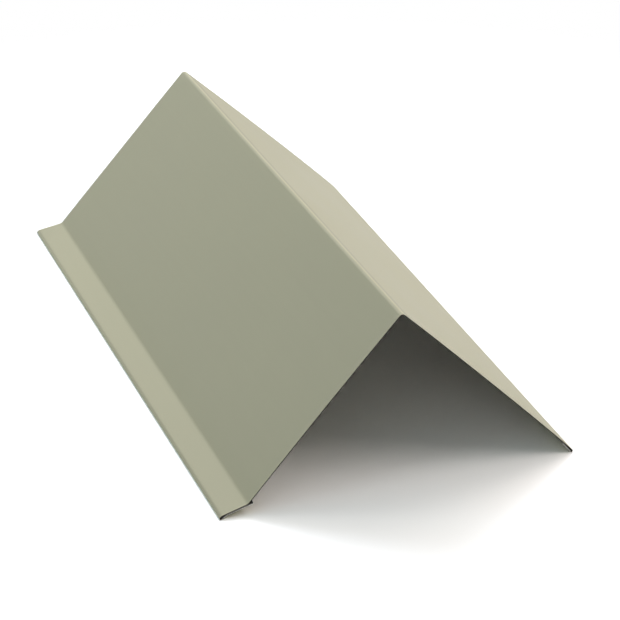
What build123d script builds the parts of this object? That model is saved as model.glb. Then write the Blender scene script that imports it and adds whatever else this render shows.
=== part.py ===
"""Rake trim: one length of painted sheet steel folded to cover the sloping edge of a roof.

The sheet is folded to an open ridge section.  The roof leg lies on the roof covering, the fascia
leg hangs over the rake board, and the kick at its foot turns the drip away from the wall.  Both
long edges are hemmed, with a small open loop at each fold.  The section is drawn along the painted
face, then laid on a level floor on its two hems.  +X runs from the kick to the roof leg's hem,
+Y along the length, +Z up.
"""
from math import asin, atan2, cos, hypot, radians, degrees, sin, tan
import os

from build123d import *

# Sheet stock, millimetres
SHEET = 0.46
LENGTH = 304.8

# Legs, measured on the painted face between the corners that the bends round off
FASCIA_LEG = 101.6
ROOF_LEG = 113.0
KICK_WIDTH = 13.4

# Main bends, degrees and inside radii
APEX_ANGLE = 88.0
APEX_RADIUS = 1.3
KICK_TURN = 35.0
KICK_RADIUS = 3.0

# Both hems: the loop's inside radius, and the clear gap where the layers close
LOOP_RADIUS = 0.25
HEM_GAP = 0.12

# Roof leg's hem: where it tips down, and how far its return reaches back from the fold
HEM_WIDTH = 7.6
HEM_DIP = 2.0
HEM_DIP_RADIUS = 20.0
HEM_RETURN = 7.0

# Kick's hem: its edge rolls down to the loop, and its return is pinched shut and runs past the kick bend
EDGE_FLAT = 0.1
EDGE_DIP = 35.0
EDGE_DIP_RADIUS = 2.0
PINCH_ANGLE = 14.0
PINCH_RADIUS = 1.0
KICK_RETURN_PAST_BEND = 1.5


def setback(radius, turn):
    """Distance from a bend's corner to where its arc begins."""
    return radius * tan(radians(turn / 2))


# A fold over the back face adds the sheet to its inside radius on the painted face
loop_face = LOOP_RADIUS + SHEET
apex_face = APEX_RADIUS + SHEET
hem_dip_face = HEM_DIP_RADIUS + SHEET
edge_dip_face = EDGE_DIP_RADIUS + SHEET
closed_hem = 2 * SHEET + HEM_GAP

apex_turn = 180.0 - APEX_ANGLE
kick_setback = setback(KICK_RADIUS, KICK_TURN)
apex_setback = setback(apex_face, apex_turn)
hem_dip_setback = setback(hem_dip_face, HEM_DIP)
edge_dip_setback = setback(edge_dip_face, EDGE_DIP)
pinch_setback = setback(PINCH_RADIUS, PINCH_ANGLE)

# Kick's loop, seen with the kick level, its tip at zero and its painted face at zero height
edge_slope = radians(EDGE_DIP)
pinch_slope = radians(PINCH_ANGLE)
edge_tangent = EDGE_FLAT + edge_dip_setback
edge_width = edge_tangent * cos(edge_slope) + loop_face * (1 - sin(edge_slope))
loop_drop = edge_tangent * sin(edge_slope) + loop_face * cos(edge_slope)
pinch_reach = loop_face + (loop_drop + loop_face / cos(pinch_slope) - closed_hem) / tan(pinch_slope)
pinch_tangent = (pinch_reach - loop_face) * cos(pinch_slope) + (loop_drop - closed_hem) * sin(pinch_slope)

# Roof leg's return: the tangent from its closed edge to the loop
return_reach = HEM_RETURN - loop_face
return_rise = closed_hem - loop_face
return_slope = asin(loop_face / hypot(return_reach, return_rise)) - atan2(return_rise, return_reach)

# Straight runs between the arcs
kick_return_run = KICK_WIDTH + KICK_RETURN_PAST_BEND - pinch_reach - pinch_setback
pinch_run = pinch_tangent - pinch_setback
kick_run = KICK_WIDTH - kick_setback - edge_width - edge_dip_setback
fascia_run = FASCIA_LEG - kick_setback - apex_setback
roof_run = ROOF_LEG - HEM_WIDTH - apex_setback - hem_dip_setback
hem_run = HEM_WIDTH - hem_dip_setback - loop_face
hem_return_run = (loop_face * (1 + cos(return_slope)) - closed_hem) / sin(return_slope)

# Painted face from the edge of the kick's return to the edge of the roof leg's return
with BuildLine() as painted_face:
    kick_return = Line((kick_return_run, 0), (0, 0))
    pinch_bend = JernArc(kick_return @ 1, kick_return % 1, PINCH_RADIUS, PINCH_ANGLE)
    pinch = PolarLine(pinch_bend @ 1, pinch_run, direction=pinch_bend % 1)
    kick_loop = JernArc(pinch @ 1, pinch % 1, loop_face, EDGE_DIP - PINCH_ANGLE - 180)
    edge = PolarLine(kick_loop @ 1, EDGE_FLAT, direction=kick_loop % 1)
    edge_bend = JernArc(edge @ 1, edge % 1, edge_dip_face, -EDGE_DIP)
    kick = PolarLine(edge_bend @ 1, kick_run, direction=edge_bend % 1)
    kick_bend = JernArc(kick @ 1, kick % 1, KICK_RADIUS, KICK_TURN)
    fascia = PolarLine(kick_bend @ 1, fascia_run, direction=kick_bend % 1)
    apex_bend = JernArc(fascia @ 1, fascia % 1, apex_face, -apex_turn)
    roof = PolarLine(apex_bend @ 1, roof_run, direction=apex_bend % 1)
    hem_bend = JernArc(roof @ 1, roof % 1, hem_dip_face, -HEM_DIP)
    hem = PolarLine(hem_bend @ 1, hem_run, direction=hem_bend % 1)
    hem_loop = JernArc(hem @ 1, hem % 1, loop_face, -180 - degrees(return_slope))
    hem_return = PolarLine(hem_loop @ 1, hem_return_run, direction=hem_loop % 1)

# Both loops rest on the floor, and the origin is on the floor midway between them
kick_loop_center = kick_loop.arc_center
hem_loop_center = hem_loop.arc_center
across = (hem_loop_center - kick_loop_center).normalized()
up = Vector(-across.Y, across.X)
floor_point = (kick_loop_center + hem_loop_center) / 2 - up * loop_face
rest_plane = Plane(
    origin=(-floor_point.dot(across), 0, -floor_point.dot(up)),
    x_dir=(across.X, 0, up.X),
    z_dir=(0, -1, 0),
)

with BuildPart() as rake_trim:
    with BuildSketch(rest_plane):
        with BuildLine():
            add(painted_face.line)
            offset(amount=SHEET, side=Side.RIGHT)
        make_face()
    extrude(amount=LENGTH / 2, both=True)

rake_trim.part.label = "rake_trim"
os.makedirs("parts", exist_ok=True)
export_step(rake_trim.part, "parts/rake_trim.step")
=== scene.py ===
"""Rake trim in painted sheet steel, laid out as a Blender add-on and run as a script."""

from math import radians

import bpy
import numpy as np
from bpy.props import FloatProperty, FloatVectorProperty, PointerProperty
from mathutils import Matrix, Vector


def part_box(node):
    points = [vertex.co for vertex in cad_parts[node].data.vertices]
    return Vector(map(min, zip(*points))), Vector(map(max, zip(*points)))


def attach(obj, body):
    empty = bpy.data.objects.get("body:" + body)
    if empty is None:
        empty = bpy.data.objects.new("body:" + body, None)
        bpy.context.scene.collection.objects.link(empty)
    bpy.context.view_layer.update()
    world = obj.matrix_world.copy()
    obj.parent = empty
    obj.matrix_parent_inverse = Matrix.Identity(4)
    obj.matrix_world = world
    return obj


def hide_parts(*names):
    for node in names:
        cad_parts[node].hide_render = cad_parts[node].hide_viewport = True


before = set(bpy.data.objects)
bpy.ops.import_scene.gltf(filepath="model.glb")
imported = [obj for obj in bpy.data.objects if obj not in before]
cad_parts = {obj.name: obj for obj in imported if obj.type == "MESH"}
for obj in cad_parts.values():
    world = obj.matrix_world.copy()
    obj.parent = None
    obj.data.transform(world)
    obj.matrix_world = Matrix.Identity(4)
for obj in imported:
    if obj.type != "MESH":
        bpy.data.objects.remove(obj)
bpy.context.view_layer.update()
node_low, node_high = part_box("rake_trim")

bl_info = {
    "name": "Rake Trim",
    "version": (1, 0, 0),
    "blender": (4, 5, 0),
    "location": "View3D > Sidebar > Rake Trim",
    "description": "Folds painted sheet steel into a rake trim and sets it on a pale studio floor",
    "category": "Add Mesh",
}

MM = 0.001

# Stretches of the painted face, in order from the kick hem's cut edge to the roof hem's cut edge
(
    KICK_RETURN,
    PINCH_BEND,
    PINCH,
    KICK_LOOP,
    EDGE,
    EDGE_BEND,
    KICK,
    KICK_BEND,
    FASCIA,
    APEX_BEND,
    ROOF,
    HEM_BEND,
    HEM,
    HEM_LOOP,
    HEM_RETURN,
) = range(15)

# Mesh steps across each stretch, close enough that a bend looks round from near by
STEPS = {
    KICK_RETURN: 6,
    PINCH_BEND: 4,
    PINCH: 3,
    KICK_LOOP: 18,
    EDGE: 1,
    EDGE_BEND: 10,
    KICK: 8,
    KICK_BEND: 12,
    FASCIA: 30,
    APEX_BEND: 16,
    ROOF: 30,
    HEM_BEND: 8,
    HEM: 6,
    HEM_LOOP: 18,
    HEM_RETURN: 5,
}
STATIONS = 72
ROLL_STEPS = 4
CUT_STEPS = 4
SHARP = radians(35)
PAINT, BACK, CUT = range(3)

# Oil-canning in each leg, as sines along the trim: wave length, phase, share of the height
FASCIA_WAVES = ((0.21, 0.6, 1.0), (0.113, 2.0, 0.6))
ROOF_WAVES = ((0.17, 3.9, 1.0), (0.097, 1.1, 0.5))

# Most values of a noise texture lie between these
NOISE_LOW = 0.3
NOISE_HIGH = 0.7

# Coil coating: tone of its patches, change of tone in its streaks, their length over their width,
# its roughness and its gloss
PATCH_TONE = (0.985, 1.015)
STREAK_TONE = (-0.004, 0.004)
STREAK_STRETCH = 80
COAT_ROUGHNESS = (0.50, 0.58)
COAT_IOR = 1.48
COAT_SPECULAR = 0.35

# Orange peel: a real ripple is a few thousandths of a millimetre high, so it is drawn higher to show at all
PEEL_HEIGHT = 0.02 * MM
PEEL_STRENGTH = 0.5

# Wash coat: span of its two noises added up, tone, length of its streaks over their width, roughness
WASH_NOISE = (0.7, 1.3)
WASH_TONE = (0.95, 1.05)
WASH_STRETCH = 60
WASH_ROUGHNESS = (0.58, 0.70)
WASH_IOR = 1.55

# Sheared edge: grain of the fracture, how far it wanders and where it begins as shares of the sheet,
# its roughness from the burnished part to the fracture, and how much of it is bare metal
GRIT = 0.5 * MM
GRIT_WANDER = 0.25
FRACTURE_DEPTH = (0.38, 0.52)
CUT_ROUGHNESS = (0.42, 0.72)
CUT_METALLIC = 0.7

# Painted highlight and painted shade about the apex bend: distance from the bend's middle across the sheet,
# half width and change of tone. The first is a highlight along the bend, the second shade on the roof leg
# beside it, the third shade on the fascia side of the bend
APEX_PAINTED_HIGHLIGHT = (0.85 * MM, 0.75 * MM, 0.22)
ROOF_PAINTED_SHADE = (3.9 * MM, 2.6 * MM, -0.17)
FASCIA_PAINTED_SHADE = (-0.5 * MM, 0.8 * MM, -0.06)

# Painted shade along the kick's rolled edge: half width and change of tone
ROLL_PAINTED_SHADE = (1.3 * MM, -0.09)

# Painted highlight along the cut ends: width and change of tone
PAINTED_RIM_WIDTH = 1.0 * MM
PAINTED_RIM_CHANGE = 0.22

# Soft boxes round the trim: name, azimuth and elevation in degrees, width, level at the trim, tint
LAMP_DISTANCE = 1.2
LAMP_AIM = (0.0, 0.0, 0.03)
SOFT_BOXES = (
    ("far_right", 60, 65, 0.96, 0.3748, "#FFF6F0"),
    ("rear", 90, 55, 0.42, 0.2764, "#E8F2FF"),
    ("near_right", 330, 55, 0.42, 0.1173, "#FFF5EF"),
    ("near_right_low", 315, 40, 0.42, 0.1117, "#FFF6EF"),
    ("left", 180, 50, 0.96, 0.1406, "#DEF8FF"),
    ("near_left", 240, 50, 0.96, 0.0777, "#EFFBFF"),
)

# Width of the camera's sensor
SENSOR = 36.0 * MM

# Floor disc: radius, rings and spokes, and the share of the radius that its one middle face takes
FLOOR_RADIUS = 12.0
FLOOR_RINGS = 24
FLOOR_SPOKES = 64
FLOOR_MIDDLE = 0.001

# How much brighter the floor looks to the eye than it lights the trim, so that it burns out to white
FLOOR_GAIN = 1.894

# Distances from the trim's middle between which the floor fades into the white behind it
FLOOR_FADE = (0.30, 0.45)

# Stretches whose back lies closed inside a hem, where the wash coat is darkened as painted shade: what is
# left of its tone
SHADED_IN_HEM = (KICK_RETURN, PINCH_BEND, PINCH, KICK_LOOP, HEM_LOOP, HEM_RETURN)
HEM_SHADE_TONE = 0.1

# Stretches that are a hem's under layer
UNDER = (KICK_RETURN, PINCH_BEND, PINCH, HEM_RETURN)


def linear(hex_code):
    """Linear light of an sRGB hex colour.

    A channel c gives c / 12.92 up to 0.04045, and ((c + 0.055) / 1.055) ** 2.4 above it.
    """
    channels = np.array([int(hex_code[i : i + 2], 16) for i in (1, 3, 5)]) / 255
    bright = ((channels + 0.055) / 1.055) ** 2.4
    return np.where(channels <= 0.04045, channels / 12.92, bright).tolist()


class TrimSizes(bpy.types.PropertyGroup):
    """Sizes of the folded sheet."""

    sheet: FloatProperty(
        name="Sheet",
        description="Thickness of the painted steel",
        default=0.46 * MM,
        unit="LENGTH",
    )
    length: FloatProperty(
        name="Length",
        description="Length between the cut ends",
        default=node_high.y - node_low.y,
        unit="LENGTH",
    )
    fascia_leg: FloatProperty(
        name="Fascia leg",
        description="Corner to corner width of the fascia leg",
        default=101.6 * MM,
        unit="LENGTH",
    )
    roof_leg: FloatProperty(
        name="Roof leg",
        description="Apex corner to hem edge",
        default=113.0 * MM,
        unit="LENGTH",
    )
    kick_width: FloatProperty(
        name="Kick",
        description="Bend corner to folded edge of the kick",
        default=13.4 * MM,
        unit="LENGTH",
    )
    apex_angle: FloatProperty(
        name="Apex angle",
        description="Angle between the two legs",
        default=radians(88.0),
        subtype="ANGLE",
    )
    apex_flare: FloatProperty(
        name="Apex flare",
        description="How much the fold opens from the near end to the far end",
        default=radians(2.53),
        subtype="ANGLE",
    )
    apex_radius: FloatProperty(
        name="Apex radius",
        description="Inside radius of the apex bend",
        default=1.3 * MM,
        unit="LENGTH",
    )
    kick_turn: FloatProperty(
        name="Kick turn",
        description="Turn from the kick up into the fascia leg",
        default=radians(35.0),
        subtype="ANGLE",
    )
    roof_crown: FloatProperty(
        name="Roof crown",
        description="Even bow of the roof leg from bend to bend",
        default=radians(2.39),
        subtype="ANGLE",
    )
    fascia_crown: FloatProperty(
        name="Fascia crown",
        description="Even bow of the fascia leg from bend to bend",
        default=radians(1.12),
        subtype="ANGLE",
    )
    kick_flare: FloatProperty(
        name="Kick flare",
        description="How much the kick's turn grows from the near end to the far end",
        default=radians(5.7),
        subtype="ANGLE",
    )
    kick_taper: FloatProperty(
        name="Kick taper",
        description="How much wider the kick is at the far end",
        default=0.43 * MM,
        unit="LENGTH",
    )
    kick_radius: FloatProperty(
        name="Kick radius",
        description="Radius of the kick bend on its painted side",
        default=3.0 * MM,
        unit="LENGTH",
    )
    loop_radius: FloatProperty(
        name="Loop radius",
        description="Inside radius of both hem loops",
        default=0.25 * MM,
        unit="LENGTH",
    )
    hem_gap: FloatProperty(
        name="Hem gap",
        description="Gap between the two layers of a hem",
        default=0.12 * MM,
        unit="LENGTH",
    )
    hem_width: FloatProperty(
        name="Hem width",
        description="Width of the tipped edge of the roof leg",
        default=7.6 * MM,
        unit="LENGTH",
    )
    hem_dip: FloatProperty(
        name="Hem dip",
        description="How far the roof leg's edge tips down",
        default=radians(2.0),
        subtype="ANGLE",
    )
    hem_dip_radius: FloatProperty(
        name="Hem dip radius",
        description="Inside radius of that bend",
        default=20.0 * MM,
        unit="LENGTH",
    )
    hem_return: FloatProperty(
        name="Hem return",
        description="Width folded under the roof leg",
        default=7.0 * MM,
        unit="LENGTH",
    )
    edge_flat: FloatProperty(
        name="Kick edge flat",
        description="Flat between the kick's rolled edge and its loop",
        default=0.1 * MM,
        unit="LENGTH",
    )
    edge_dip: FloatProperty(
        name="Kick edge dip",
        description="How far the kick's edge rolls down",
        default=radians(35.0),
        subtype="ANGLE",
    )
    edge_dip_radius: FloatProperty(
        name="Kick edge radius",
        description="Inside radius of that bend",
        default=2.0 * MM,
        unit="LENGTH",
    )
    pinch_angle: FloatProperty(
        name="Pinch angle",
        description="Slope that closes the kick hem behind its loop",
        default=radians(14.0),
        subtype="ANGLE",
    )
    pinch_radius: FloatProperty(
        name="Pinch radius",
        description="Radius of the bend behind the loop",
        default=1.0 * MM,
        unit="LENGTH",
    )
    return_past_bend: FloatProperty(
        name="Kick return past bend",
        description="How far the kick hem reaches past the bend",
        default=2.4 * MM,
        unit="LENGTH",
    )
    roll_over: FloatProperty(
        name="Roll-over",
        description="Radius that the shear leaves on the painted side",
        default=0.12 * MM,
        unit="LENGTH",
    )
    oil_can: FloatProperty(
        name="Oil-canning",
        description="Height of the faint waves in the flat legs",
        default=0.10 * MM,
        unit="LENGTH",
    )


class TrimFinish(bpy.types.PropertyGroup):
    """Colours and texture sizes of the coating, the back and the cut steel."""

    paint: FloatVectorProperty(
        name="Paint",
        description="Colour of the coil coating",
        default=linear("#CAC7AA"),
        subtype="COLOR",
    )
    backer: FloatVectorProperty(
        name="Backer",
        description="Colour of the wash coat on the back",
        default=linear("#BFBDB4"),
        subtype="COLOR",
    )
    burnished: FloatVectorProperty(
        name="Burnished steel",
        description="Upper third of a sheared edge",
        default=linear("#5E5A52"),
        subtype="COLOR",
    )
    # Paler grey given to the cut edge of the hems' under layers
    pale_under_cut: FloatVectorProperty(
        name="Pale under cut",
        description="Cut edge of a hem's under layer",
        default=linear("#A6A6A2"),
        subtype="COLOR",
    )
    fractured: FloatVectorProperty(
        name="Fractured steel",
        description="Lower part of a sheared edge",
        default=linear("#2C2822"),
        subtype="COLOR",
    )
    peel: FloatProperty(
        name="Orange peel",
        description="Width of one ripple in the coating",
        default=1.6 * MM,
        unit="LENGTH",
    )
    mottle: FloatProperty(
        name="Mottle",
        description="Width of the faint patches of tone",
        default=55.0 * MM,
        unit="LENGTH",
    )
    streak: FloatProperty(
        name="Roller streak",
        description="Width of the streaks left by the coating roller",
        default=3.0 * MM,
        unit="LENGTH",
    )


class StudioLook(bpy.types.PropertyGroup):
    """Camera and floor."""

    lens: FloatProperty(
        name="Lens",
        description="Focal length",
        default=139.451 * MM,
        unit="CAMERA",
    )
    eye: FloatVectorProperty(
        name="Camera place",
        description="Where the camera stands",
        default=(-0.322087, -0.963285, 0.514197),
        subtype="XYZ_LENGTH",
        precision=4,
    )
    yaw: FloatProperty(
        name="Yaw",
        description="Turn from +Y to the left",
        default=radians(-19.2345),
        subtype="ANGLE",
    )
    pitch: FloatProperty(
        name="Pitch",
        description="Angle of looking down",
        default=radians(26.3311),
        subtype="ANGLE",
    )
    roll: FloatProperty(
        name="Roll",
        description="Turn about the line of sight",
        default=radians(0.7637),
        subtype="ANGLE",
    )
    floor: FloatVectorProperty(
        name="Floor",
        description="Colour of the floor paper",
        default=linear("#F4F4F2"),
        subtype="COLOR",
    )


def put(tree, kind, sockets=None, **settings):
    """Adds a node, sets its own settings, then gives each named socket a value or a link."""
    made = tree.nodes.new(kind)
    for name, value in settings.items():
        setattr(made, name, value)
    for name, value in (sockets or {}).items():
        if isinstance(value, bpy.types.NodeSocket):
            tree.links.new(value, made.inputs[name])
        else:
            made.inputs[name].default_value = value
    return made


def blank_material(name):
    """A new material with an empty node tree."""
    made = bpy.data.materials.new(name)
    made.use_nodes = True
    made.node_tree.nodes.clear()
    return made, made.node_tree


def setback(radius, turn):
    """Distance from a bend's end to its corner: the radius times the tangent of half the turn."""
    return radius * np.tan(turn / 2)


def stretches(sizes, along):
    """Length and turn of each stretch of the painted face, at each distance along the trim.

    A bend's length is its radius times its turn. A flat's length is its width less the setbacks of the
    bends beside it. A hem's loop is round, and the lines that touch it come from the wanted gap: the
    flat that leaves the loop rises at the slope which brings it from the loop's circle to the hem's
    closed thickness. A crowned leg turns evenly, and half of its turn comes off the bend at each of its
    ends. The flares and the taper grow evenly along the trim.
    """
    share = along / sizes.length
    apex_angle = sizes.apex_angle + sizes.apex_flare * share
    kick_width = sizes.kick_width + sizes.kick_taper * share
    loop = sizes.loop_radius + sizes.sheet
    apex = sizes.apex_radius + sizes.sheet
    hem_dip = sizes.hem_dip_radius + sizes.sheet
    edge_dip = sizes.edge_dip_radius + sizes.sheet
    closed = 2 * sizes.sheet + sizes.hem_gap
    apex_turn = np.pi - apex_angle - (sizes.roof_crown + sizes.fascia_crown) / 2
    kick_turn = sizes.kick_turn + sizes.kick_flare * share + sizes.fascia_crown / 2
    hem_turn = sizes.hem_dip - sizes.roof_crown / 2
    kick_back = setback(sizes.kick_radius, kick_turn)
    apex_back = setback(apex, apex_turn)
    hem_back = setback(hem_dip, hem_turn)
    edge_back = setback(edge_dip, sizes.edge_dip)
    pinch_back = setback(sizes.pinch_radius, sizes.pinch_angle)

    edge_tangent = sizes.edge_flat + edge_back
    edge_width = edge_tangent * np.cos(sizes.edge_dip) + loop * (1 - np.sin(sizes.edge_dip))
    loop_drop = edge_tangent * np.sin(sizes.edge_dip) + loop * np.cos(sizes.edge_dip)
    pinch_reach = loop + (loop_drop + loop / np.cos(sizes.pinch_angle) - closed) / np.tan(sizes.pinch_angle)
    pinch_tangent = (pinch_reach - loop) * np.cos(sizes.pinch_angle)
    pinch_tangent += (loop_drop - closed) * np.sin(sizes.pinch_angle)
    reach = sizes.hem_return - loop
    rise = closed - loop
    slope = np.arcsin(loop / np.hypot(reach, rise)) - np.arctan2(rise, reach)

    turn = {
        PINCH_BEND: sizes.pinch_angle,
        KICK_LOOP: sizes.edge_dip - sizes.pinch_angle - np.pi,
        EDGE_BEND: -sizes.edge_dip,
        KICK_BEND: kick_turn,
        FASCIA: -sizes.fascia_crown,
        APEX_BEND: -apex_turn,
        ROOF: -sizes.roof_crown,
        HEM_BEND: -hem_turn,
        HEM_LOOP: -np.pi - slope,
    }
    length = {
        KICK_RETURN: kick_width + sizes.return_past_bend - pinch_reach - pinch_back,
        PINCH_BEND: sizes.pinch_radius * turn[PINCH_BEND],
        PINCH: pinch_tangent - pinch_back,
        KICK_LOOP: -loop * turn[KICK_LOOP],
        EDGE: sizes.edge_flat,
        EDGE_BEND: -edge_dip * turn[EDGE_BEND],
        KICK: kick_width - kick_back - edge_width - edge_back,
        KICK_BEND: sizes.kick_radius * turn[KICK_BEND],
        FASCIA: sizes.fascia_leg - kick_back - apex_back,
        APEX_BEND: -apex * turn[APEX_BEND],
        ROOF: sizes.roof_leg - sizes.hem_width - apex_back - hem_back,
        HEM_BEND: -hem_dip * turn[HEM_BEND],
        HEM: sizes.hem_width - hem_back - loop,
        HEM_LOOP: -loop * turn[HEM_LOOP],
        HEM_RETURN: (loop * (1 + np.cos(slope)) - closed) / np.sin(slope),
    }
    even = np.zeros_like(along)
    lengths = np.array([length[i] + even for i in STEPS])
    turns = np.array([turn.get(i, 0.0) + even for i in STEPS])
    return lengths, turns


def samples_across():
    """The stretch that each sample across the sheet lies in, and how far along it from 0 to 1."""
    stretch = np.concatenate([np.full(n, i) for i, n in STEPS.items()] + [[HEM_RETURN]])
    part = np.concatenate([np.arange(n) / n for n in STEPS.values()] + [[1.0]])
    return stretch.astype(int), part


def laid_section(sizes, along):
    """Distance from the apex, painted line and outward normals: rows across the sheet, columns along it.

    The heading grows evenly through a bend and stays the same along a flat. Each step is a chord: the
    distance walked times sin(h) / h, where h is half the step's turn, at the step's mean heading.
    Adding up the chords gives the line. It is then turned and moved until both hem loops rest on the
    floor, with the origin midway between them.
    """
    lengths, turns = stretches(sizes, along)
    stretch, part = samples_across()
    walked = (np.cumsum(lengths, 0) - lengths)[stretch] + part[:, None] * lengths[stretch]
    heading = np.pi + (np.cumsum(turns, 0) - turns)[stretch] + part[:, None] * turns[stretch]
    bend = np.diff(heading, axis=0)
    chord = np.diff(walked, axis=0) * np.sinc(bend / (2 * np.pi))
    mean = heading[:-1] + bend / 2
    start = np.zeros((1, len(along)))
    x = np.concatenate([start, np.cumsum(chord * np.cos(mean), 0)])
    z = np.concatenate([start, np.cumsum(chord * np.sin(mean), 0)])

    loop = sizes.loop_radius + sizes.sheet
    centre = [np.flatnonzero((stretch == i) & (part == 0))[0] for i in (KICK_LOOP, HEM_LOOP)]
    centre_x = x[centre] + loop * np.sin(heading[centre])
    centre_z = z[centre] - loop * np.cos(heading[centre])
    tilt = np.arctan2(centre_z[1] - centre_z[0], centre_x[1] - centre_x[0])
    cos, sin = np.cos(tilt), np.sin(tilt)
    x -= centre_x.mean(0)
    z -= centre_z.mean(0)
    x, z = cos * x + sin * z, cos * z - sin * x + loop
    heading -= tilt
    apex = np.flatnonzero((stretch == APEX_BEND) & (part == 0.5))[0]
    return walked - walked[apex], x, z, -np.sin(heading), np.cos(heading)


def stations(sizes):
    """Distance along the trim and depth into the sheet, once round the sheet from end to end.

    The painted face comes first, its stations closing up towards the ends as a sine does. A quarter
    circle rolls it over into the far cut, the back returns along the same stations, and the near cut
    mirrors the far one.
    """
    half = sizes.length / 2
    roll = sizes.roll_over
    spread = np.sin(np.linspace(-np.pi / 2, np.pi / 2, STATIONS))
    quarter = np.linspace(0, np.pi / 2, ROLL_STEPS + 1)[1:]
    rolled = half - roll + roll * np.sin(quarter)
    rolled_depth = roll - roll * np.cos(quarter)
    cut_depth = np.linspace(roll, sizes.sheet, CUT_STEPS + 1)[1:-1]
    cut = np.full(len(cut_depth), half)
    face = np.zeros(STATIONS)
    along = [spread * (half - roll), rolled, cut, -spread * half, -cut, -rolled[::-1]]
    depth = [face, rolled_depth, cut_depth, face + sizes.sheet, cut_depth[::-1], rolled_depth[::-1]]
    return np.concatenate(along), np.concatenate(depth)


def waves(sizes, along):
    """Oil-canning in the legs: sines along the trim, faded out at the bends by a squared sine across."""
    stretch, part = samples_across()
    fade = np.sin(np.pi * part) ** 2
    height = np.zeros((len(stretch), len(along)))
    for leg, sines in ((FASCIA, FASCIA_WAVES), (ROOF, ROOF_WAVES)):
        wave = sum(share * np.sin(2 * np.pi * along / span + phase) for span, phase, share in sines)
        height += (stretch == leg)[:, None] * wave
    return sizes.oil_can * fade[:, None] * height


def folded_sheet(sizes):
    """Points, faces, each face's material, each point's place on the flat sheet, and its place in a hem.

    A point is the section's painted line, moved out by the waves and in by its depth along the normal,
    at its distance along the trim. The grid is closed round the sheet, and both hem edges are closed by
    a strip from face to back.
    """
    along, depth = stations(sizes)
    walked, x, z, out_x, out_z = laid_section(sizes, along)
    lift = waves(sizes, along) - depth
    y = np.broadcast_to(along, x.shape)
    points = np.stack([x + lift * out_x, y, z + lift * out_z], -1)
    place = np.stack([walked, y, np.broadcast_to(depth, x.shape)], -1)

    across, around = x.shape
    index = np.arange(across * around).reshape(across, around)
    turned = np.roll(index, -1, axis=1)
    quads = np.stack([index[:-1], index[1:], turned[1:], turned[:-1]], -1)
    side = np.full(around, CUT)
    side[: STATIONS - 1 + ROLL_STEPS // 2] = PAINT
    side[-(ROLL_STEPS - ROLL_STEPS // 2) :] = PAINT
    back = STATIONS + ROLL_STEPS + CUT_STEPS - 1
    side[back : back + STATIONS - 1] = BACK
    faces = quads.reshape(-1, 4).tolist()
    material = np.broadcast_to(side, quads.shape[:2]).ravel().tolist()

    front_row = np.arange(STATIONS)
    back_row = back + front_row[::-1]
    for row, step in ((index[0], 1), (index[-1], -1)):
        front, behind = row[front_row], row[back_row]
        strip = np.stack([front[:-1], front[1:], behind[1:], behind[:-1]], -1)
        far_end = row[STATIONS - 1 : back + 1]
        near_end = np.append(row[back + STATIONS - 1 :], row[0])
        closing = [q[::step] for q in (*strip, far_end, near_end)]
        faces += [q.tolist() for q in closing]
        material += [CUT] * len(closing)
    stretch = samples_across()[0]
    # Masks: the back inside the hems, darkened as painted shade, and the hems' under layers, whose cut edge
    # is drawn a paler grey
    hem = {
        "hem_painted_shade": np.repeat(np.isin(stretch, SHADED_IN_HEM), around),
        "under_layer": np.repeat(np.isin(stretch, UNDER), around),
    }
    return points.reshape(-1, 3), faces, material, place.reshape(-1, 3), hem


def rolled_edge(sizes):
    """Distance from the apex to the middle of the kick's rolled edge, halfway along the trim."""
    stretch, part = samples_across()
    walked = laid_section(sizes, np.zeros(1))[0]
    return float(walked[(stretch == EDGE_BEND) & (part == 0.5)][0, 0])


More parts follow.
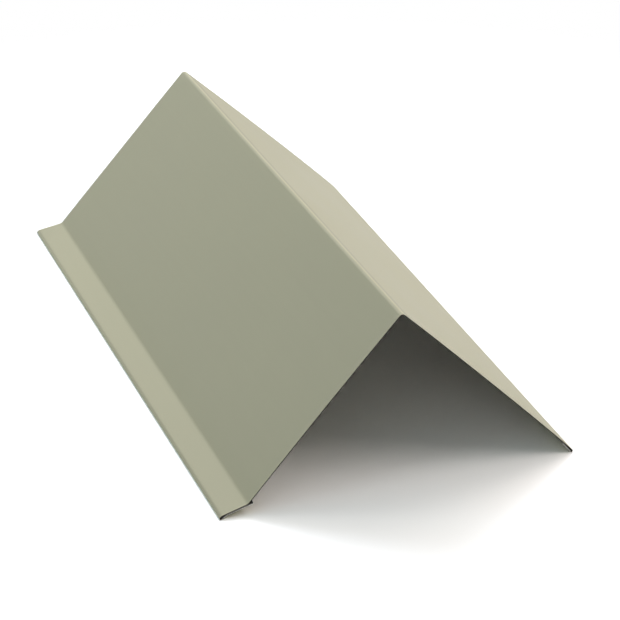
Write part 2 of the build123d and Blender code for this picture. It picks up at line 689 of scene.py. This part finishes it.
def coil_coat(sizes, finish):
    """Satin polyester coil coating, rolled on and baked: an even stone grey with a soft sheen.

    The eye gets a flat, nearly grainless colour. Close to, there is a low orange peel, faint patches
    and long roller streaks. Painted into the colour are a highlight along the apex bend, painted shade
    beside it on both legs and along the kick's rolled edge, and a painted highlight along the sheared ends.
    """
    made, tree = blank_material("Satin coil coating, roller-applied")
    place = put(tree, "ShaderNodeAttribute", attribute_name="sheet_place").outputs["Vector"]
    split = put(tree, "ShaderNodeSeparateXYZ", {"Vector": place})
    patches = put(tree, "ShaderNodeTexNoise", {"Vector": place, "Scale": 1 / finish.mottle, "Detail": 2.0})
    stretch = (1 / finish.streak, 1 / (STREAK_STRETCH * finish.streak), 1.0)
    drawn = put(tree, "ShaderNodeMapping", {"Vector": place, "Scale": stretch})
    grain = {"Vector": drawn.outputs["Vector"], "Scale": 1.0, "Detail": 1.0}
    streaks = put(tree, "ShaderNodeTexNoise", grain)
    peel = put(tree, "ShaderNodeTexNoise", {"Vector": place, "Scale": 1 / finish.peel, "Detail": 1.0})

    # Painted highlight along the apex bend, and painted shade beside it and along the kick's rolled edge,
    # added to the tone
    painted_lines = []
    roll_painted_shade = (rolled_edge(sizes), *ROLL_PAINTED_SHADE)
    for middle, half, change in (APEX_PAINTED_HIGHLIGHT, ROOF_PAINTED_SHADE, FASCIA_PAINTED_SHADE, roll_painted_shade):
        beside = put(tree, "ShaderNodeMath", {0: split.outputs["X"], 1: middle}, operation="SUBTRACT")
        off = put(tree, "ShaderNodeMath", {0: beside.outputs[0]}, operation="ABSOLUTE")
        line = put(
            tree,
            "ShaderNodeMapRange",
            {"Value": off.outputs[0], "From Min": 0.0, "From Max": half, "To Min": change, "To Max": 0.0},
            interpolation_type="SMOOTHSTEP",
        )
        painted_lines.append(line)
    # Painted highlight along the sheared ends
    end = put(tree, "ShaderNodeMath", {0: split.outputs["Y"]}, operation="ABSOLUTE")
    painted_rim = put(
        tree,
        "ShaderNodeMapRange",
        {
            "Value": end.outputs[0],
            "From Min": sizes.length / 2 - PAINTED_RIM_WIDTH,
            "From Max": sizes.length / 2,
            "To Min": 0.0,
            "To Max": PAINTED_RIM_CHANGE,
        },
        interpolation_type="SMOOTHSTEP",
    )
    tone = put(
        tree,
        "ShaderNodeMapRange",
        {
            "Value": patches.outputs["Fac"],
            "From Min": NOISE_LOW,
            "From Max": NOISE_HIGH,
            "To Min": PATCH_TONE[0],
            "To Max": PATCH_TONE[1],
        },
    )
    lined = put(
        tree,
        "ShaderNodeMapRange",
        {
            "Value": streaks.outputs["Fac"],
            "From Min": NOISE_LOW,
            "From Max": NOISE_HIGH,
            "To Min": STREAK_TONE[0],
            "To Max": STREAK_TONE[1],
        },
    )
    total = tone.outputs["Result"]
    for part in (lined, *painted_lines, painted_rim):
        added = put(tree, "ShaderNodeMath", {0: total, 1: part.outputs["Result"]}, operation="ADD")
        total = added.outputs[0]
    colour = put(tree, "ShaderNodeVectorMath", {0: tuple(finish.paint), "Scale": total}, operation="SCALE")
    gloss = put(
        tree,
        "ShaderNodeMapRange",
        {
            "Value": patches.outputs["Fac"],
            "From Min": NOISE_LOW,
            "From Max": NOISE_HIGH,
            "To Min": COAT_ROUGHNESS[0],
            "To Max": COAT_ROUGHNESS[1],
        },
    )
    bump = {"Height": peel.outputs["Fac"], "Distance": PEEL_HEIGHT, "Strength": PEEL_STRENGTH}
    ripple = put(tree, "ShaderNodeBump", bump)
    shader = put(
        tree,
        "ShaderNodeBsdfPrincipled",
        {
            "Base Color": colour.outputs["Vector"],
            "Roughness": gloss.outputs["Result"],
            "Normal": ripple.outputs["Normal"],
            "IOR": COAT_IOR,
            "Specular IOR Level": COAT_SPECULAR,
        },
    )
    put(tree, "ShaderNodeOutputMaterial", {"Surface": shader.outputs["BSDF"]})
    return made


def wash_coat(finish):
    """Thin epoxy wash coat on the back of the coil: a dull pale grey with long streaks along the strip.

    Inside the hems the coat is darkened nearly to black, painted shade that gives the eye a black slot.
    """
    made, tree = blank_material("Epoxy wash coat, rolled thin")
    place = put(tree, "ShaderNodeAttribute", attribute_name="sheet_place").outputs["Vector"]
    stretch = (1 / finish.streak, 1 / (WASH_STRETCH * finish.streak), 1.0)
    drawn = put(tree, "ShaderNodeMapping", {"Vector": place, "Scale": stretch})
    grain = {"Vector": drawn.outputs["Vector"], "Scale": 1.0, "Detail": 3.0}
    streaks = put(tree, "ShaderNodeTexNoise", grain)
    patches = put(tree, "ShaderNodeTexNoise", {"Vector": place, "Scale": 1 / finish.mottle, "Detail": 3.0})
    both = put(
        tree, "ShaderNodeMath", {0: streaks.outputs["Fac"], 1: patches.outputs["Fac"]}, operation="ADD"
    )
    tone = put(
        tree,
        "ShaderNodeMapRange",
        {
            "Value": both.outputs[0],
            "From Min": WASH_NOISE[0],
            "From Max": WASH_NOISE[1],
            "To Min": WASH_TONE[0],
            "To Max": WASH_TONE[1],
        },
    )
    # Painted shade: inside the hems the wash coat is darkened nearly to black
    hem_shade = put(tree, "ShaderNodeAttribute", attribute_name="hem_painted_shade").outputs["Fac"]
    left = put(tree, "ShaderNodeMapRange", {"Value": hem_shade, "To Min": 1.0, "To Max": HEM_SHADE_TONE})
    total = put(
        tree, "ShaderNodeMath", {0: tone.outputs["Result"], 1: left.outputs["Result"]}, operation="MULTIPLY"
    )
    tinted = {0: tuple(finish.backer), "Scale": total.outputs[0]}
    colour = put(tree, "ShaderNodeVectorMath", tinted, operation="SCALE")
    gloss = put(
        tree,
        "ShaderNodeMapRange",
        {
            "Value": streaks.outputs["Fac"],
            "From Min": NOISE_LOW,
            "From Max": NOISE_HIGH,
            "To Min": WASH_ROUGHNESS[0],
            "To Max": WASH_ROUGHNESS[1],
        },
    )
    peel = put(tree, "ShaderNodeTexNoise", {"Vector": place, "Scale": 1 / finish.peel, "Detail": 2.0})
    bump = {"Height": peel.outputs["Fac"], "Distance": PEEL_HEIGHT, "Strength": PEEL_STRENGTH}
    ripple = put(tree, "ShaderNodeBump", bump)
    shader = put(
        tree,
        "ShaderNodeBsdfPrincipled",
        {
            "Base Color": colour.outputs["Vector"],
            "Roughness": gloss.outputs["Result"],
            "Normal": ripple.outputs["Normal"],
            "IOR": WASH_IOR,
        },
    )
    put(tree, "ShaderNodeOutputMaterial", {"Surface": shader.outputs["BSDF"]})
    return made


def sheared_steel(sizes, finish):
    """Cut edge of the galvanised sheet: a burnished upper third over a dull, darkened fracture.

    The eye gets a thin dark line along the ends, and a paler grey one on the hems' under layers.
    """
    made, tree = blank_material("Galvanised steel, sheared edge")
    place = put(tree, "ShaderNodeAttribute", attribute_name="sheet_place").outputs["Vector"]
    split = put(tree, "ShaderNodeSeparateXYZ", {"Vector": place})
    grit = put(tree, "ShaderNodeTexNoise", {"Vector": place, "Scale": 1 / GRIT, "Detail": 3.0})
    uneven = {0: grit.outputs["Fac"], 1: GRIT_WANDER * sizes.sheet, 2: split.outputs["Z"]}
    wander = put(tree, "ShaderNodeMath", uneven, operation="MULTIPLY_ADD")
    torn = put(
        tree,
        "ShaderNodeMapRange",
        {
            "Value": wander.outputs[0],
            "From Min": FRACTURE_DEPTH[0] * sizes.sheet,
            "From Max": FRACTURE_DEPTH[1] * sizes.sheet,
        },
    )
    colour = put(
        tree,
        "ShaderNodeMix",
        {"Factor": torn.outputs["Result"], 6: (*finish.burnished, 1.0), 7: (*finish.fractured, 1.0)},
        data_type="RGBA",
    )
    # Paler grey on the cut edge of the hems' under layers
    under = put(tree, "ShaderNodeAttribute", attribute_name="under_layer").outputs["Fac"]
    colour = put(
        tree,
        "ShaderNodeMix",
        {"Factor": under, 6: colour.outputs[2], 7: (*finish.pale_under_cut, 1.0)},
        data_type="RGBA",
    )
    dull = {"Value": torn.outputs["Result"], "To Min": CUT_ROUGHNESS[0], "To Max": CUT_ROUGHNESS[1]}
    gloss = put(tree, "ShaderNodeMapRange", dull)
    shader = put(
        tree,
        "ShaderNodeBsdfPrincipled",
        {"Base Color": colour.outputs[2], "Roughness": gloss.outputs["Result"], "Metallic": CUT_METALLIC},
    )
    put(tree, "ShaderNodeOutputMaterial", {"Surface": shader.outputs["BSDF"]})
    return made


class RAKETRIM_OT_trim(bpy.types.Operator):
    """Folds the painted sheet into the trim"""

    bl_idname = "raketrim.trim"
    bl_label = "Fold trim"

    def execute(self, context):
        sizes = context.scene.raketrim_sizes
        finish = context.scene.raketrim_finish
        points, faces, material, place, hem = folded_sheet(sizes)
        mesh = bpy.data.meshes.new("folded_sheet")
        mesh.from_pydata(points, [], faces)
        if mesh.validate():
            raise RuntimeError("the folded sheet's mesh has faulty faces")
        mesh.polygons.foreach_set("material_index", material)
        mesh.shade_smooth()
        mesh.set_sharp_from_angle(angle=SHARP)
        kept = mesh.attributes.new("sheet_place", "FLOAT_VECTOR", "POINT")
        kept.data.foreach_set("vector", place.ravel())
        for name, inside in hem.items():
            kept = mesh.attributes.new(name, "FLOAT", "POINT")
            kept.data.foreach_set("value", inside.astype(np.float32))
        for made in (coil_coat(sizes, finish), wash_coat(finish), sheared_steel(sizes, finish)):
            mesh.materials.append(made)
        trim = bpy.data.objects.new("folded_sheet", mesh)
        context.scene.collection.objects.link(trim)
        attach(trim, "root")
        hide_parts("rake_trim")
        return {"FINISHED"}


def seen(tree):
    """1 for rays that the eye follows, straight or by reflection or through glass, and 0 for the rest."""
    path = put(tree, "ShaderNodeLightPath")
    followed = path.outputs["Is Camera Ray"]
    for kind in ("Is Glossy Ray", "Is Transmission Ray"):
        most = put(tree, "ShaderNodeMath", {0: followed, 1: path.outputs[kind]}, operation="MAXIMUM")
        followed = most.outputs[0]
    return followed


def floor_paper(look):
    """Matte white studio paper, rolled out flat: the eye gets plain white with the trim's soft shadow.

    It bounces light as its colour says, looks brighter to the eye so that it burns out to white, and
    fades into the white behind it away from the trim.
    """
    made, tree = blank_material("Studio paper, matte")
    paper = put(tree, "ShaderNodeBsdfDiffuse", {"Color": (*look.floor, 1.0)})
    bright = put(tree, "ShaderNodeBsdfDiffuse", {"Color": (FLOOR_GAIN, FLOOR_GAIN, FLOOR_GAIN, 1.0)})
    place = put(tree, "ShaderNodeTexCoord").outputs["Object"]
    away = put(tree, "ShaderNodeVectorMath", {0: place}, operation="LENGTH").outputs["Value"]
    far = put(
        tree,
        "ShaderNodeMapRange",
        {"Value": away, "From Min": FLOOR_FADE[0], "From Max": FLOOR_FADE[1]},
        interpolation_type="SMOOTHSTEP",
    )
    clear = put(tree, "ShaderNodeBsdfTransparent")
    fade = {0: far.outputs["Result"], 1: bright.outputs[0], 2: clear.outputs[0]}
    faded = put(tree, "ShaderNodeMixShader", fade)
    mixed = put(tree, "ShaderNodeMixShader", {0: seen(tree), 1: paper.outputs[0], 2: faded.outputs[0]})
    put(tree, "ShaderNodeOutputMaterial", {"Surface": mixed.outputs[0]})
    return made


def round_floor(radius, rings, spokes):
    """A flat disc round the origin: rings spaced as the square of their number, closed round the spokes."""
    ring = radius * (np.arange(rings + 1) / rings) ** 2
    ring[0] = radius * FLOOR_MIDDLE
    angle = np.arange(spokes) * 2 * np.pi / spokes
    x = np.outer(ring, np.cos(angle))
    y = np.outer(ring, np.sin(angle))
    points = np.stack([x, y, np.zeros_like(x)], -1)
    index = np.arange((rings + 1) * spokes).reshape(rings + 1, spokes)
    turned = np.roll(index, -1, axis=1)
    quads = np.stack([index[:-1], index[1:], turned[1:], turned[:-1]], -1).reshape(-1, 4)
    return points.reshape(-1, 3), [*quads.tolist(), index[0].tolist()]


def soft_box(context, name, azimuth, elevation, size, level, tint):
    """A square lamp that faces the trim from the azimuth (anticlockwise from +X) and elevation given.

    The level is how bright a white card at the trim looks when it faces the lamp. The power for it is
    the level times the square of pi times the distance.
    """
    light = bpy.data.lights.new(name, "AREA")
    light.size = size
    light.energy = level * (np.pi * LAMP_DISTANCE) ** 2
    light.color = tint
    made = bpy.data.objects.new(name, light)
    flat = np.cos(elevation)
    towards = Vector((flat * np.cos(azimuth), flat * np.sin(azimuth), np.sin(elevation)))
    made.location = Vector(LAMP_AIM) + LAMP_DISTANCE * towards
    made.rotation_mode = "QUATERNION"
    made.rotation_quaternion = (-towards).to_track_quat("-Z", "Y")
    context.scene.collection.objects.link(made)


class RAKETRIM_OT_stage(bpy.types.Operator):
    """Lays the floor and sets the lamps and the camera"""

    bl_idname = "raketrim.stage"
    bl_label = "Set stage"

    def execute(self, context):
        look = context.scene.raketrim_look
        scene = context.scene
        points, faces = round_floor(FLOOR_RADIUS, FLOOR_RINGS, FLOOR_SPOKES)
        mesh = bpy.data.meshes.new("floor")
        mesh.from_pydata(points, [], faces)
        mesh.materials.append(floor_paper(look))
        floor = bpy.data.objects.new("floor", mesh)
        scene.collection.objects.link(floor)

        world = bpy.data.worlds.new("studio")
        world.use_nodes = True
        tree = world.node_tree
        tree.nodes.clear()
        white = put(tree, "ShaderNodeBackground", {"Color": (1.0, 1.0, 1.0, 1.0), "Strength": seen(tree)})
        put(tree, "ShaderNodeOutputWorld", {"Surface": white.outputs[0]})
        scene.world = world

        for name, azimuth, elevation, size, level, tint in SOFT_BOXES:
            soft_box(context, name, radians(azimuth), radians(elevation), size, level, linear(tint))

        cos, sin = np.cos, np.sin
        across = np.array([cos(look.yaw), sin(look.yaw), 0.0])
        level = cos(look.pitch)
        ahead = np.array([-sin(look.yaw) * level, cos(look.yaw) * level, -sin(look.pitch)])
        down = np.cross(ahead, across)
        right = cos(look.roll) * across + sin(look.roll) * down
        up = sin(look.roll) * across - cos(look.roll) * down
        data = bpy.data.cameras.new("camera")
        data.sensor_width = SENSOR / MM
        data.lens = look.lens / MM
        camera = bpy.data.objects.new("camera", data)
        turn = Matrix(np.stack([right, up, -ahead], 1).tolist())
        camera.matrix_world = Matrix.Translation(look.eye) @ turn.to_4x4()
        scene.collection.objects.link(camera)
        scene.camera = camera
        scene.view_settings.view_transform = "Standard"
        return {"FINISHED"}


class RAKETRIM_PT_sidebar(bpy.types.Panel):
    """Lists the sizes, the finishes and the steps that make the trim"""

    bl_label = "Rake Trim"
    bl_space_type = "VIEW_3D"
    bl_region_type = "UI"
    bl_category = "Rake Trim"

    def draw(self, context):
        for name in ("raketrim_sizes", "raketrim_finish", "raketrim_look"):
            group = getattr(context.scene, name)
            box = self.layout.box()
            for key in group.bl_rna.properties.keys():
                if key not in ("rna_type", "name"):
                    box.prop(group, key)
        self.layout.operator(RAKETRIM_OT_trim.bl_idname)
        self.layout.operator(RAKETRIM_OT_stage.bl_idname)


CLASSES = (TrimSizes, TrimFinish, StudioLook, RAKETRIM_OT_trim, RAKETRIM_OT_stage, RAKETRIM_PT_sidebar)


def register():
    for made in CLASSES:
        bpy.utils.register_class(made)
    bpy.types.Scene.raketrim_sizes = PointerProperty(type=TrimSizes)
    bpy.types.Scene.raketrim_finish = PointerProperty(type=TrimFinish)
    bpy.types.Scene.raketrim_look = PointerProperty(type=StudioLook)


def unregister():
    del bpy.types.Scene.raketrim_look
    del bpy.types.Scene.raketrim_finish
    del bpy.types.Scene.raketrim_sizes
    for made in reversed(CLASSES):
        bpy.utils.unregister_class(made)


def main():
    register()
    bpy.ops.raketrim.trim()
    bpy.ops.raketrim.stage()


if __name__ == "__main__":
    main()
